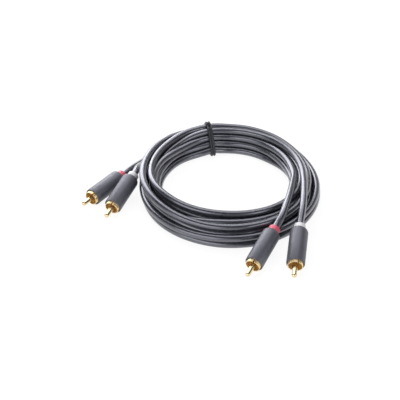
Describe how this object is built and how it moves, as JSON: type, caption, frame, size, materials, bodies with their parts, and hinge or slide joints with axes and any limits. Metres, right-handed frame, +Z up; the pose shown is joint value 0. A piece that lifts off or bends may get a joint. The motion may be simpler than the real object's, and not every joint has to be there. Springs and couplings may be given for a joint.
{
  "type": "audio video cable",
  "caption": "Coiled stereo audio cable with a slim phono plug at each strand end, red and white colour rings, held by a twist tie.",
  "frame": {"origin": "on the ground under the middle of the cable's bounding box", "axes": "+Z up from the ground, +Y towards the back of the coil where the twist tie is, +X to the right as the picture shows it"},
  "size_m": [0.1562, 0.1495, 0.0171],
  "materials": {
    "cord": "satin dark slate jacket",
    "shell": "matte dark grey moulding",
    "red_ring": "satin red",
    "white_ring": "satin white",
    "gold": "gold-plated contacts",
    "insulator": "amber insulator",
    "tie": "satin black coated wire"
  },
  "bodies": {
    "root": {"cable_coil": "cord", "twist_tie": "tie", "left_red_lead": "cord", "left_white_lead": "cord", "right_red_lead": "cord", "right_white_lead": "cord", "left_red_shell": "shell", "left_white_shell": "shell", "right_red_shell": "shell", "right_white_shell": "shell", "left_red_colour_ring": "red_ring", "left_white_colour_ring": "white_ring", "right_red_colour_ring": "red_ring", "right_white_colour_ring": "white_ring", "left_red_ground_collar": "gold", "left_white_ground_collar": "gold", "right_red_ground_collar": "gold", "right_white_ground_collar": "gold", "left_red_insulator": "insulator", "left_white_insulator": "insulator", "right_red_insulator": "insulator", "right_white_insulator": "insulator", "left_red_centre_pin": "gold", "left_white_centre_pin": "gold", "right_red_centre_pin": "gold", "right_white_centre_pin": "gold"}
  },
  "joints": []
}
